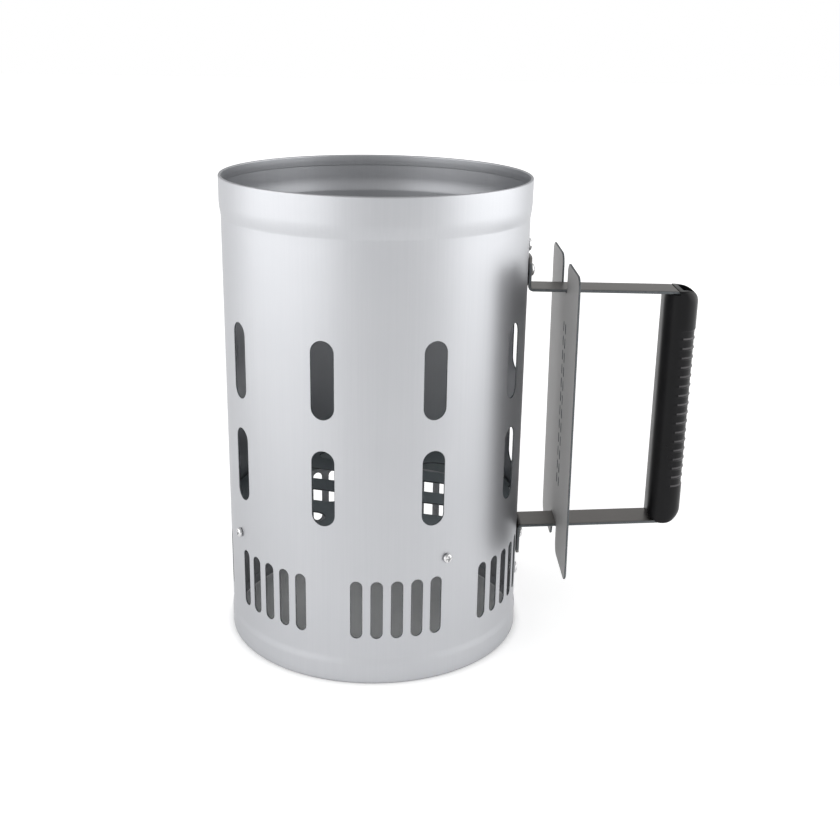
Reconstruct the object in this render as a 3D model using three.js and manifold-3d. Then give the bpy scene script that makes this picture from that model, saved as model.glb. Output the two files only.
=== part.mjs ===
// Chimney charcoal starter: a galvanised sheet tube with a grate inside, a bent strap handle
// with a heat shield and a moulded grip. Millimetres, +Z up, the handle points along +X.
// Inside assembly the tube's axis is X = Y = 0 and its foot is Z = 0; the exported group
// moves the whole so that the origin is the middle of the footprint, handle included.

import * as THREE from 'three';
import { mergeVertices } from 'three/addons/utils/BufferGeometryUtils.js';
import Module from 'manifold-3d';

// ---- driving dimensions ------------------------------------------------------------------

const GAP = 0.3;                     // between faces that touch on the real object

const HEIGHT = 300;
const TUBE_RADIUS = 95.6;            // outside, along the main wall
const SHEET = 0.8;
const TUBE_SEGMENTS = 60;
const TOP_BAND = { radius: 96.6, foot: 285, blendFoot: 275.5, blendSteps: 4 };
const BASE_BAND = { radius: 96.3, top: 11.5, blendTop: 18, blendSteps: 3 };
const HEM = { height: 7, thickness: 1.7 };
const SEAM_LAP_WIDTH = 14;           // second layer of sheet behind the handle
const SEAM_RELIEF = { depth: 1.9, width: 19 };    // room for it in the grate's edge

const DRAFT_SLOT = { width: 14, height: 47, count: 9, firstDegrees: 11.3 };
const DRAFT_SLOT_ROWS = [127.4, 194];
const VENT_SLOT = { width: 7, height: 38, z: 50, pitchDegrees: 7.45, perGroup: 5 };
const VENT_GROUPS = { count: 7, firstDegrees: -81.7 };

const GRATE = { radius: 94.4, top: 89.7, thickness: 1, flangeFoot: 72, turnDegrees: -17.6 };
const GRATE_SLOT = { width: 18.5, pitch: 36.4, rows: 4, spine: 32, rimMargin: 11 };

const SCREW = { firstDegrees: 27.4, shankRadius: 1.9, headRadius: 3, length: 7.4 };
const SCREW_HEIGHTS = [79, 79, 79, 80.5];
const NUT = { width: 7, height: 3 };
const FASTENER_SEGMENTS = 12;

const STRAP = { width: 22.6, thickness: 2, reach: 195.3, widthSteps: 6 };
const STRAP_BENDS = [2.6, 6, 6, 2.6];              // middle radii: tube, grip, grip, tube
const UPPER_ARM = { wallZ: 230.1, gripZ: 229.1, flangeEnd: 250 };
const LOWER_ARM = { wallZ: 68.9, gripZ: 72.6, flangeEnd: 48 };

const RIVET = { shankRadius: 2.1, headRadius: 4.1, headHeight: 2.2, tailRadius: 3.4, tailHeight: 1.6 };
const STRAP_RIVETS = { rivet_upper: 241, rivet_lower: 60.3 };
const SEAM_RIVETS = { seam_rivet_upper: 257, seam_rivet_lower: 33.5 };

const SHIELD = { x: 121.2, width: 121, foot: 51.3, top: 248.5, thickness: 1.2, cornerRadius: 7 };
const SHIELD_TURN = { leanDegrees: 0.5, yawDegrees: 0.8 };
const SHIELD_SLOT = { width: 2.6, height: 6.4, rows: 12, pitch: 9.4, middleZ: 154, columns: [-14, -6] };
const SHIELD_WELD = { length: 14, leg: 3 };

const GRIP = { inner: 183.4, outer: 205.6, width: 26, foot: 71.6, top: 230.2 };
const GRIP_EDGES = { inner: 10, outer: 10.5 };                    // seen from above
const GRIP_CORNERS = { innerFoot: 5, outerFoot: 9, outerTop: 8, innerTop: 2 };    // seen from a side
const GRIP_CHEEK_START = 191.6;      // its sides stand up beside the strap's bend from here on
const GRIP_POCKET = { from: 195, to: 202.8, width: 17, cornerRadius: 6, depth: 18 };

const HOLE_CLEARANCE = 0.3;
const CUT_DEPTH = 30;                // long enough to pass any wall it is used on

// ---- materials ---------------------------------------------------------------------------

function metal(color, roughness) {
  return new THREE.MeshStandardMaterial({ color, roughness, metalness: 1 });
}

const GALVANISED = metal(0xc9cacd, 0.38);
const GRATE_STEEL = metal(0x6d7274, 0.5);
const STRAP_STEEL = metal(0x7d7b78, 0.45);
const SHIELD_STEEL = metal(0x8f8d8a, 0.45);
const ZINC = metal(0xd0d0d2, 0.3);
const BLACK_PLASTIC = new THREE.MeshStandardMaterial({ color: 0x1d1d20, roughness: 0.5, metalness: 0 });

// ---- solid helpers -----------------------------------------------------------------------

const wasm = await Module();
wasm.setup();

const degrees = THREE.MathUtils.degToRad;

function toSolid(geometry) {
  const bare = geometry.clone();
  bare.deleteAttribute('normal');
  bare.deleteAttribute('uv');
  const merged = mergeVertices(bare);
  const corners = merged.index.array;
  const triangles = [];
  for (let i = 0; i < corners.length; i += 3) {
    const [a, b, c] = [corners[i], corners[i + 1], corners[i + 2]];
    if (a !== b && b !== c && c !== a) {
      triangles.push(a, b, c);
    }
  }
  return new wasm.Manifold(new wasm.Mesh({
    numProp: 3,
    vertProperties: merged.attributes.position.array,
    triVerts: new Uint32Array(triangles),
  }));
}

function toGeometry(solid) {
  const mesh = solid.getMesh();
  const geometry = new THREE.BufferGeometry();
  geometry.setAttribute('position', new THREE.BufferAttribute(mesh.vertProperties, 3));
  geometry.setIndex(new THREE.BufferAttribute(mesh.triVerts, 1));
  geometry.computeVertexNormals();
  return geometry;
}

function subtractAll(solid, cutters) {
  return cutters.reduce((rest, cutter) => rest.subtract(toSolid(cutter)), solid);
}

// A profile of [radius, height] points turned about the Z axis.
function turned(profile, segments) {
  const points = profile.map(([radius, z]) => new THREE.Vector2(radius, z));
  return new THREE.LatheGeometry(points, segments).rotateX(Math.PI / 2);
}

function prism(shape, depth, curveSegments) {
  return new THREE.ExtrudeGeometry(shape, { depth, curveSegments, bevelEnabled: false });
}

// Turns a prism so that its outline's x and y lie along Y and Z, and its depth along X.
function alongX(geometry) {
  const axes = [new THREE.Vector3(0, 1, 0), new THREE.Vector3(0, 0, 1), new THREE.Vector3(1, 0, 0)];
  return geometry.applyMatrix4(new THREE.Matrix4().makeBasis(...axes));
}

// Turns a prism so that its outline's x and y lie along X and Z, centred across Y.
function acrossY(geometry, depth) {
  return geometry.rotateX(Math.PI / 2).translate(0, depth / 2, 0);
}

function obround(width, height) {
  const radius = Math.min(width, height) / 2;
  const shape = new THREE.Shape();
  if (height > width) {
    shape.absarc(0, height / 2 - radius, radius, 0, Math.PI);
    shape.absarc(0, radius - height / 2, radius, Math.PI, 2 * Math.PI);
  } else {
    shape.absarc(width / 2 - radius, 0, radius, -Math.PI / 2, Math.PI / 2);
    shape.absarc(radius - width / 2, 0, radius, Math.PI / 2, 1.5 * Math.PI);
  }
  shape.closePath();
  return shape;
}

function disc(radius) {
  return new THREE.Shape().absarc(0, 0, radius, 0, 2 * Math.PI);
}

// Rectangle from (x0, y0) to (x1, y1) with one radius for each corner, counter-clockwise
// from the lower left.
function roundedRectangle(x0, y0, x1, y1, [r00, r10, r11, r01]) {
  const shape = new THREE.Shape();
  shape.absarc(x0 + r00, y0 + r00, r00, Math.PI, 1.5 * Math.PI);
  shape.absarc(x1 - r10, y0 + r10, r10, -Math.PI / 2, 0);
  shape.absarc(x1 - r11, y1 - r11, r11, 0, Math.PI / 2);
  shape.absarc(x0 + r01, y1 - r01, r01, Math.PI / 2, Math.PI);
  shape.closePath();
  return shape;
}

// A cutter of that outline through the tube's wall, at one angle about the axis.
function wallCutter(shape, curveSegments, z, angle) {
  const cutter = alongX(prism(shape, CUT_DEPTH, curveSegments));
  return cutter.translate(TUBE_RADIUS - CUT_DEPTH / 2, 0, z).rotateZ(angle);
}

function angles(first, count) {
  return Array.from({ length: count }, (_, i) => degrees(first + (i * 360) / count));
}

const SCREW_ANGLES = angles(SCREW.firstDegrees, SCREW_HEIGHTS.length);
const SCREW_HOLE = disc(SCREW.shankRadius + HOLE_CLEARANCE);
const RIVET_HOLE = disc(RIVET.shankRadius + HOLE_CLEARANCE);
const HOLE_STEPS = 5;

function screwHoleCutters() {
  return SCREW_ANGLES.map((angle, i) => wallCutter(SCREW_HOLE, HOLE_STEPS, SCREW_HEIGHTS[i], angle));
}

// ---- fire tube ---------------------------------------------------------------------------

// Points of a smooth step from one radius to another, without its two ends.
function blend(fromRadius, fromZ, toRadius, toZ, steps) {
  const points = [];
  for (let i = 1; i < steps; i += 1) {
    const t = i / steps;
    points.push([
      THREE.MathUtils.lerp(fromRadius, toRadius, THREE.MathUtils.smoothstep(t, 0, 1)),
      THREE.MathUtils.lerp(fromZ, toZ, t),
    ]);
  }
  return points;
}

function tubeProfile() {
  const wall = [
    [BASE_BAND.radius, BASE_BAND.top],
    ...blend(BASE_BAND.radius, BASE_BAND.top, TUBE_RADIUS, BASE_BAND.blendTop, BASE_BAND.blendSteps),
    [TUBE_RADIUS, BASE_BAND.blendTop],
    [TUBE_RADIUS, TOP_BAND.blendFoot],
    ...blend(TUBE_RADIUS, TOP_BAND.blendFoot, TOP_BAND.radius, TOP_BAND.foot, TOP_BAND.blendSteps),
    [TOP_BAND.radius, TOP_BAND.foot],
  ];
  const inside = wall.map(([radius, z]) => [radius - SHEET, z]).reverse();
  return [
    [BASE_BAND.radius, 0],
    ...wall,
    [TOP_BAND.radius, HEIGHT],
    [TOP_BAND.radius - HEM.thickness, HEIGHT],
    [TOP_BAND.radius - HEM.thickness, HEIGHT - HEM.height],
    [TOP_BAND.radius - SHEET, HEIGHT - HEM.height],
    ...inside,
    [BASE_BAND.radius - SHEET, HEM.height],
    [BASE_BAND.radius - HEM.thickness, HEM.height],
    [BASE_BAND.radius - HEM.thickness, 0],
    [BASE_BAND.radius, 0],
  ];
}

// The sheet's inner end, which runs behind its outer end where the rivets hold both.
function seamLap() {
  const half = SEAM_LAP_WIDTH / 2 / TUBE_RADIUS;
  const inner = TUBE_RADIUS - 2 * SHEET;
  const outer = TUBE_RADIUS - SHEET / 2;
  const shape = new THREE.Shape();
  shape.absarc(0, 0, outer, -half, half);
  shape.absarc(0, 0, inner, half, -half, true);
  shape.closePath();
  const height = TOP_BAND.blendFoot - BASE_BAND.blendTop;
  return prism(shape, height, 2).translate(0, 0, BASE_BAND.blendTop);
}

function draftSlotCutters() {
  const slot = obround(DRAFT_SLOT.width, DRAFT_SLOT.height);
  const around = angles(DRAFT_SLOT.firstDegrees, DRAFT_SLOT.count);
  return DRAFT_SLOT_ROWS.flatMap((z) => around.map((angle) => wallCutter(slot, 3, z, angle)));
}

function ventCutters() {
  const slot = obround(VENT_SLOT.width, VENT_SLOT.height);
  const pitch = degrees(VENT_SLOT.pitchDegrees);
  const middle = (VENT_SLOT.perGroup - 1) / 2;
  return angles(VENT_GROUPS.firstDegrees, VENT_GROUPS.count).flatMap((centre) => (
    Array.from({ length: VENT_SLOT.perGroup }, (_, i) => (
      wallCutter(slot, 2, VENT_SLOT.z, centre + (i - middle) * pitch)
    ))
  ));
}

function fireTube() {
  const rivetHeights = [...Object.values(STRAP_RIVETS), ...Object.values(SEAM_RIVETS)];
  const wall = toSolid(turned(tubeProfile(), TUBE_SEGMENTS)).add(toSolid(seamLap()));
  return toGeometry(subtractAll(wall, [
    ...draftSlotCutters(),
    ...ventCutters(),
    ...screwHoleCutters(),
    ...rivetHeights.map((z) => wallCutter(RIVET_HOLE, HOLE_STEPS, z, 0)),
  ]));
}

// ---- grate -------------------------------------------------------------------------------

// Rows of straight slots on both sides of a spine, each as long as the round plate allows.
function grateSlotCutters() {
  const cutters = [];
  for (let row = 0; row < GRATE_SLOT.rows; row += 1) {
    const v = (row - (GRATE_SLOT.rows - 1) / 2) * GRATE_SLOT.pitch;
    const farEdge = Math.abs(v) + GRATE_SLOT.width / 2;
    const end = Math.sqrt(GRATE.radius ** 2 - farEdge ** 2) - GRATE_SLOT.rimMargin;
    const start = GRATE_SLOT.spine / 2;
    const slot = obround(end - start, GRATE_SLOT.width);
    for (const side of [-1, 1]) {
      const cutter = prism(slot, CUT_DEPTH, 3);
      cutter.translate((side * (start + end)) / 2, v, GRATE.top - CUT_DEPTH / 2);
      cutters.push(cutter.rotateZ(degrees(GRATE.turnDegrees)));
    }
  }
  return cutters;
}

function grate() {
  const inner = GRATE.radius - GRATE.thickness;
  const plate = turned([
    [0, GRATE.top - GRATE.thickness],
    [inner, GRATE.top - GRATE.thickness],
    [inner, GRATE.flangeFoot],
    [GRATE.radius, GRATE.flangeFoot],
    [GRATE.radius, GRATE.top - GRATE.thickness],
    [inner, GRATE.top],
    [0, GRATE.top],
  ], TUBE_SEGMENTS);
  const seamRelief = new THREE.BoxGeometry(CUT_DEPTH, SEAM_RELIEF.width, 2 * CUT_DEPTH);
  seamRelief.translate(GRATE.radius - SEAM_RELIEF.depth + CUT_DEPTH / 2, 0, GRATE.top);
  return toGeometry(subtractAll(toSolid(plate), [
    ...grateSlotCutters(),
    ...screwHoleCutters(),
    seamRelief,
  ]));
}

// ---- grate screws and nuts ---------------------------------------------------------------

// Pan head screw with a cross recess, its axis along Z and its head's underside at Z = 0.
function grateScrew() {
  const headHeight = 2.2;
  const body = turned([
    [0, -SCREW.length],
    [SCREW.shankRadius - 0.4, -SCREW.length],
    [SCREW.shankRadius, 0.4 - SCREW.length],
    [SCREW.shankRadius, 0],
    [SCREW.headRadius, 0],
    [SCREW.headRadius, headHeight * 0.5],
    [SCREW.headRadius * 0.75, headHeight * 0.9],
    [0, headHeight],
  ], FASTENER_SEGMENTS);
  const recess = { length: 3.4, width: 0.9, depth: 1.3 };
  const slots = [0, Math.PI / 2].map((angle) => (
    new THREE.BoxGeometry(recess.length, recess.width, 2 * recess.depth)
      .rotateZ(angle)
      .translate(0, 0, headHeight)
  ));
  return toGeometry(subtractAll(toSolid(body), slots));
}

function grateNut() {
  const shape = new THREE.Shape();
  const radius = NUT.width / Math.sqrt(3);
  for (const angle of angles(0, 6)) {
    const corner = [radius * Math.cos(angle), radius * Math.sin(angle)];
    if (angle === 0) {
      shape.moveTo(...corner);
    } else {
      shape.lineTo(...corner);
    }
  }
  shape.closePath();
  shape.holes.push(disc(SCREW.shankRadius + HOLE_CLEARANCE));
  return prism(shape, NUT.height, HOLE_STEPS + 1);
}

// ---- rivets ------------------------------------------------------------------------------

// One turned profile: formed tail inside the tube, shank, and domed head outside.
// Its axis is Z and the head's underside is Z = 0.
function rivet(gripLength) {
  const domeSteps = 4;
  const profile = [
    [0, -gripLength - RIVET.tailHeight],
    [RIVET.tailRadius * 0.7, -gripLength - RIVET.tailHeight],
    [RIVET.tailRadius, -gripLength - RIVET.tailHeight * 0.5],
    [RIVET.tailRadius, -gripLength],
    [RIVET.shankRadius, -gripLength],
    [RIVET.shankRadius, 0],
  ];
  for (let i = 0; i <= domeSteps; i += 1) {
    const angle = (Math.PI / 2) * (i / domeSteps);
    const radius = i === domeSteps ? 0 : RIVET.headRadius * Math.cos(angle);
    profile.push([radius, RIVET.headHeight * Math.sin(angle)]);
  }
  return turned(profile, FASTENER_SEGMENTS);
}

// ---- handle strap ------------------------------------------------------------------------

const FLANGE_X = TUBE_RADIUS + GAP + STRAP.thickness / 2;

const STRAP_CENTRELINE = [
  [FLANGE_X, UPPER_ARM.flangeEnd],
  [FLANGE_X, UPPER_ARM.wallZ],
  [STRAP.reach, UPPER_ARM.gripZ],
  [STRAP.reach, LOWER_ARM.gripZ],
  [FLANGE_X, LOWER_ARM.wallZ],
  [FLANGE_X, LOWER_ARM.flangeEnd],
].map(([x, z]) => new THREE.Vector2(x, z));

// Outline of a bar that follows the strap's centreline with a round bend at each corner.
function bentBarShape(thickness) {
  const centreline = STRAP_CENTRELINE;
  const bendSteps = 4;
  const left = [];
  const right = [];
  const station = (point, direction) => {
    const normal = new THREE.Vector2(-direction.y, direction.x).multiplyScalar(thickness / 2);
    left.push(point.clone().add(normal));
    right.push(point.clone().sub(normal));
  };
  const heading = (i) => centreline[i + 1].clone().sub(centreline[i]).normalize();
  station(centreline[0], heading(0));
  for (let i = 1; i < centreline.length - 1; i += 1) {
    const before = heading(i - 1);
    const after = heading(i);
    const turn = Math.atan2(before.cross(after), before.dot(after));
    const bendRadius = STRAP_BENDS[i - 1];
    const run = bendRadius * Math.tan(Math.abs(turn) / 2);
    const side = new THREE.Vector2(-before.y, before.x).multiplyScalar(Math.sign(turn) * bendRadius);
    const start = centreline[i].clone().addScaledVector(before, -run);
    const centre = start.clone().add(side);
    for (let step = 0; step <= bendSteps; step += 1) {
      const angle = (turn * step) / bendSteps;
      const point = start.clone().rotateAround(centre, angle);
      station(point, before.clone().rotateAround(new THREE.Vector2(), angle));
    }
  }
  station(centreline.at(-1), heading(centreline.length - 2));
  return new THREE.Shape([...right, ...left.reverse()]);
}

// Presses the wall end of the bar to the tube's curve and leaves its grip end straight.
function curvedToTube(geometry) {
  const corners = geometry.attributes.position;
  for (let i = 0; i < corners.count; i += 1) {
    const x = corners.getX(i);
    const sag = TUBE_RADIUS - Math.sqrt(TUBE_RADIUS ** 2 - corners.getY(i) ** 2);
    corners.setX(i, x < STRAP.reach / 2 + FLANGE_X / 2 ? x - sag : x);
  }
  return geometry;
}

function handleStrap() {
  const outline = bentBarShape(STRAP.thickness);
  const flatBar = new THREE.ExtrudeGeometry(outline, {
    depth: STRAP.width,
    steps: STRAP.widthSteps,
    bevelEnabled: false,
  });
  const bar = curvedToTube(acrossY(flatBar, STRAP.width));
  const holes = Object.values(STRAP_RIVETS).map((z) => wallCutter(RIVET_HOLE, HOLE_STEPS, z, 0));
  return toGeometry(subtractAll(toSolid(bar), holes));
}

// ---- heat shield -------------------------------------------------------------------------

function armHeight(arm, x) {
  const t = (x - FLANGE_X) / (STRAP.reach - FLANGE_X);
  return THREE.MathUtils.lerp(arm.wallZ, arm.gripZ, t);
}

// Plate with a notch at its foot and one at its top, all its free corners rounded.
// The outline's x is the plate's Y, and its y is the plate's Z.
function shieldOutline(notchHalf, notchRoof, notchFloor) {
  const { foot, top, cornerRadius: r } = SHIELD;
  const half = SHIELD.width / 2;
  const quarter = Math.PI / 2;
  const shape = new THREE.Shape();
  shape.absarc(-half + r, foot + r, r, 2 * quarter, 3 * quarter);
  shape.absarc(-notchHalf - r, foot + r, r, 3 * quarter, 4 * quarter);
  shape.lineTo(-notchHalf, notchRoof);
  shape.lineTo(notchHalf, notchRoof);
  shape.absarc(notchHalf + r, foot + r, r, 2 * quarter, 3 * quarter);
  shape.absarc(half - r, foot + r, r, 3 * quarter, 4 * quarter);
  shape.absarc(half - r, top - r, r, 0, quarter);
  shape.absarc(notchHalf + r, top - r, r, quarter, 2 * quarter);
  shape.lineTo(notchHalf, notchFloor);
  shape.lineTo(-notchHalf, notchFloor);
  shape.absarc(-notchHalf - r, top - r, r, 0, quarter);
  shape.absarc(-half + r, top - r, r, quarter, 2 * quarter);
  shape.closePath();
  return shape;
}

// Fillet weld on the plate's outer face, along the inner side of one arm.
function shieldWeld(arm, side) {
  const { length, leg } = SHIELD_WELD;
  const root = armHeight(arm, SHIELD.x) + side * (STRAP.thickness / 2 + GAP);
  const face = SHIELD.x + SHIELD.thickness / 2;
  const corners = [[face - SHIELD.thickness, root], [face + leg, root], [face, root + side * leg]];
  const shape = new THREE.Shape(corners.map(([x, z]) => new THREE.Vector2(x, z)));
  return acrossY(prism(shape, length, 1), length);
}

function heatShield() {
  const middleZ = (SHIELD.foot + SHIELD.top) / 2;
  const clearance = STRAP.thickness / 2 + 1.5 * GAP;
  const outline = shieldOutline(
    STRAP.width / 2 + 2 * GAP,
    armHeight(LOWER_ARM, SHIELD.x) + clearance,
    armHeight(UPPER_ARM, SHIELD.x) - clearance,
  );
  const plate = alongX(prism(outline, SHIELD.thickness, 2));
  plate.translate(-SHIELD.thickness / 2, 0, -middleZ);
  plate.rotateY(-degrees(SHIELD_TURN.leanDegrees)).rotateZ(-degrees(SHIELD_TURN.yawDegrees));
  plate.translate(SHIELD.x, 0, middleZ);

  const slot = obround(SHIELD_SLOT.width, SHIELD_SLOT.height);
  const slots = SHIELD_SLOT.columns.flatMap((y) => (
    Array.from({ length: SHIELD_SLOT.rows }, (_, i) => {
      const z = SHIELD_SLOT.middleZ + (i - (SHIELD_SLOT.rows - 1) / 2) * SHIELD_SLOT.pitch;
      return alongX(prism(slot, CUT_DEPTH, 2)).translate(SHIELD.x - CUT_DEPTH / 2, y, z);
    })
  ));
  const cutPlate = subtractAll(toSolid(plate), slots);
  const upperWeld = toSolid(shieldWeld(UPPER_ARM, -1));
  const lowerWeld = toSolid(shieldWeld(LOWER_ARM, 1));
  return toGeometry(cutPlate.add(upperWeld).add(lowerWeld));
}

// ---- grip --------------------------------------------------------------------------------

// D-shaped bar with rounded ends, hollow where the strap runs through it and open at its top.
function grip() {
  const half = GRIP.width / 2;
  const height = GRIP.top - GRIP.foot;
  const section = roundedRectangle(GRIP.inner, -half, GRIP.outer, half,
    [GRIP_EDGES.inner, GRIP_EDGES.outer, GRIP_EDGES.outer, GRIP_EDGES.inner]);
  const bar = toSolid(prism(section, height, 4).translate(0, 0, GRIP.foot));
  const side = roundedRectangle(GRIP.inner, GRIP.foot, GRIP.outer, GRIP.top,
    [GRIP_CORNERS.innerFoot, GRIP_CORNERS.outerFoot, GRIP_CORNERS.outerTop, GRIP_CORNERS.innerTop]);
  const ends = toSolid(acrossY(prism(side, 2 * GRIP.width, 4), 2 * GRIP.width));

  const underArm = armHeight(UPPER_ARM, GRIP_CHEEK_START) - STRAP.thickness / 2 - GAP;
  const armRoom = new THREE.BoxGeometry(CUT_DEPTH, 2 * GRIP.width, CUT_DEPTH)
    .translate(GRIP_CHEEK_START - CUT_DEPTH / 2, 0, underArm + CUT_DEPTH / 2);
  const tunnelShape = bentBarShape(STRAP.thickness + 2 * GAP);
  const tunnelWidth = STRAP.width + 2 * GAP;
  const tunnel = acrossY(prism(tunnelShape, tunnelWidth, 1), tunnelWidth);
  const { from, to, width, cornerRadius, depth } = GRIP_POCKET;
  const pocketShape = roundedRectangle(from, -width / 2, to, width / 2, [1, cornerRadius, cornerRadius, 1]);
  const pocket = prism(pocketShape, 2 * depth, 3).translate(0, 0, GRIP.top - depth);
  return toGeometry(subtractAll(bar.intersect(ends), [armRoom, tunnel, pocket]));
}

// ---- assembly ----------------------------------------------------------------------------

const assembly = new THREE.Group();

function place(name, geometry, material) {
  const mesh = new THREE.Mesh(geometry, material);
  mesh.name = name;
  assembly.add(mesh);
  return mesh;
}

// Stands a fastener's axis along the radius at that angle, its Z = 0 plane at that radius.
function placeRadially(name, geometry, material, radius, angle, z) {
  const mesh = place(name, geometry, material);
  mesh.rotation.set(0, Math.PI / 2, angle, 'ZYX');
  mesh.position.set(radius * Math.cos(angle), radius * Math.sin(angle), z);
}

place('fire_tube', fireTube(), GALVANISED);
place('grate', grate(), GRATE_STEEL);
place('handle_strap', handleStrap(), STRAP_STEEL);
place('heat_shield', heatShield(), SHIELD_STEEL);
place('grip', grip(), BLACK_PLASTIC);

SCREW_ANGLES.forEach((angle, i) => {
  const nutRadius = GRATE.radius - GRATE.thickness - GAP - NUT.height - GAP;
  placeRadially(`grate_screw_${i + 1}`, grateScrew(), ZINC, TUBE_RADIUS + GAP, angle, SCREW_HEIGHTS[i]);
  placeRadially(`grate_nut_${i + 1}`, grateNut(), ZINC, nutRadius, angle, SCREW_HEIGHTS[i]);
});

for (const [name, z] of Object.entries(STRAP_RIVETS)) {
  const gripLength = STRAP.thickness + 2 * SHEET + 3 * GAP;
  const radius = FLANGE_X + STRAP.thickness / 2 + GAP;
  placeRadially(name, rivet(gripLength), ZINC, radius, 0, z);
}

for (const [name, z] of Object.entries(SEAM_RIVETS)) {
  placeRadially(name, rivet(2 * SHEET + 2 * GAP), ZINC, TUBE_RADIUS + GAP, 0, z);
}

// The origin is the middle of the footprint: the tube's far side and the grip's outer face
// are the two ends along X.
assembly.position.x = (TOP_BAND.radius - GRIP.outer) / 2;

const group = new THREE.Group();
group.add(assembly);

export default group;
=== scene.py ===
"""Chimney charcoal starter: fine meshes, materials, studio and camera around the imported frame."""

import math

import bmesh
import bpy
from mathutils import Matrix, Vector
from mathutils.geometry import delaunay_2d_cdt


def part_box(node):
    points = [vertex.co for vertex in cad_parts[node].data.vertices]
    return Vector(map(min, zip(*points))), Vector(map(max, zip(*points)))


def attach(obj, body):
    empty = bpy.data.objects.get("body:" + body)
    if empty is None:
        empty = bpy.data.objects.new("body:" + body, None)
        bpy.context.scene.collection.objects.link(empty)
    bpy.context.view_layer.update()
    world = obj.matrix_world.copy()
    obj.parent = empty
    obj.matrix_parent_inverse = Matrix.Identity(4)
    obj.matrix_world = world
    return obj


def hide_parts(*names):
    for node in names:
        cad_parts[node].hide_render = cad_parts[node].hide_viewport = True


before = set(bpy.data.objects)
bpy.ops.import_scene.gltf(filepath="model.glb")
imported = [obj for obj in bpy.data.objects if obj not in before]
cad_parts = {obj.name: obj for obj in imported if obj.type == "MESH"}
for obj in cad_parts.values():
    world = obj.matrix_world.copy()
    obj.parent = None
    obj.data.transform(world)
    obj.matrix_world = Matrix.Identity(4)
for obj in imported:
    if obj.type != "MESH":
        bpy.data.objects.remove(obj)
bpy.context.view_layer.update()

# ---- driving dimensions, in millimetres and degrees, about the tube's axis -----------------

MM = 0.001

tube_low, tube_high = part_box("fire_tube")
AXIS_X = (tube_low.x + tube_high.x) / 2 / MM
HEIGHT = tube_high.z / MM
TOP_RADIUS = (tube_high.y - tube_low.y) / 2 / MM
TUBE_RADIUS = 95.6
BASE_RADIUS = 96.3
SHEET = 0.8
JOINT_GAP = 0.3
HEM_HEIGHT = 7
FOLD_RADIUS = 0.5
BASE_BLEND = (11.5, 18)
TOP_BLEND = (275.5, 285)

SEAM_OUTER_EDGE = -5.2
SEAM_INNER_EDGE = 363.8
JOGGLE = (348, 354)
LAP_GAP = 0.06
LAP_NOTCHES = (11, 12)

DRAFT_SLOT = (14, 47)
DRAFT_SLOT_ROWS = (127.4, 194)
DRAFT_SLOT_ANGLES = [11.3 + 40 * i for i in range(9)]
VENT_SLOT = (7, 38)
VENT_Z = 50
VENT_PITCH = 7.45
VENTS_PER_GROUP = 5
VENT_GROUP_ANGLES = [21.15 + 360 / 7 * i for i in range(7)]

SCREW_ANGLES = [27.4 + 90 * i for i in range(4)]
SCREW_HEIGHTS = (79, 79, 79, 80.5)
SCREW_HOLE = 2.2
RIVET_HEIGHTS = {"rivet_upper": 241, "rivet_lower": 60.3,
                 "seam_rivet_upper": 257, "seam_rivet_lower": 33.5}
RIVET_HOLE = 2.4

GRATE_RADIUS = 94.4
GRATE_TOP = 89.7
GRATE_SHEET = 1.0
GRATE_BEND = 2.0
GRATE_FLANGE_FOOT = 72
GRATE_TURN = -17.6
GRATE_SLOT_WIDTH = 18.5
GRATE_SLOT_PITCH = 36.4
GRATE_SPINE = 32
GRATE_RIM_MARGIN = 11
GRATE_NOTCH_ANGLE = 6

STRAP_WIDTH = 22.6
STRAP_THICKNESS = 2
STRAP_EDGE = 0.6
STRAP_END_RADIUS = 4
STRAP_BENDS = (2.6, 6, 6, 2.6)
FLANGE_X = TUBE_RADIUS + JOINT_GAP + STRAP_THICKNESS / 2
STRAP_REACH = 195.3
UPPER_ARM = (230.1, 229.1)
LOWER_ARM = (68.9, 72.6)
FLANGE_ENDS = (250, 48)

SHIELD_X = 121.2
SHIELD_WIDTH = 121
SHIELD_FOOT = 51.3
SHIELD_TOP = 248.5
SHIELD_THICKNESS = 1.2
SHIELD_LEAN = 0.5
SHIELD_YAW = 0.8
SHIELD_CORNER = 7
SHIELD_NOTCH_CORNER = 0.8
SHIELD_SLOT = (2.6, 6.4)
SHIELD_SLOT_COLUMNS = (-14, -6)
SHIELD_SLOT_ROWS = 12
SHIELD_SLOT_PITCH = 9.4
SHIELD_SLOT_MIDDLE = 154

GRIP_INNER = 183.4
GRIP_OUTER = 205.6
GRIP_WIDTH = 26
GRIP_FOOT = 71.6
GRIP_TOP = 230.2
GRIP_CHEEK_START = 191.6
GRIP_OUTER_FOOT, GRIP_OUTER_TOP, GRIP_INNER_FOOT = 9, 8, 5
GRIP_END_EDGE = 1.2
GRIP_INNER_ROUNDING, GRIP_OUTER_ROUNDING = 10.0, 10.5
POCKET = {"inner": 194.5, "outer": 202.8, "half_width": 8.5, "corner": 5, "depth": 18}
RIB_PITCH = 6.3
RIB_COUNT = 17
RIB_FIRST_Z = 98
RIB_HEIGHT = 0.55
RIB_THICKNESS = 3.0
# Heights above each rib's crest whose faces get a lighter black, a painted highlight.
RIB_PAINTED_HIGHLIGHT_FLANK = (0.1, 0.95)

CAMERA = {"x": 0, "y": -759.71, "z": 400.07, "pitch": 18.898, "yaw": 2.216, "roll": 1.018, "lens": 52.35}


# ---- outlines and flat patterns --------------------------------------------------------------

def arc(cx, cy, radius, start, end, steps):
    """Points of an arc, both ends included; angles in degrees."""
    turns = [math.radians(start + (end - start) * i / steps) for i in range(steps + 1)]
    return [(cx + radius * math.cos(t), cy + radius * math.sin(t)) for t in turns]


def polar(radius, angle):
    """Point at that distance and angle, in degrees, from the origin."""
    turn = math.radians(angle)
    return (radius * math.cos(turn), radius * math.sin(turn))


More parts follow.
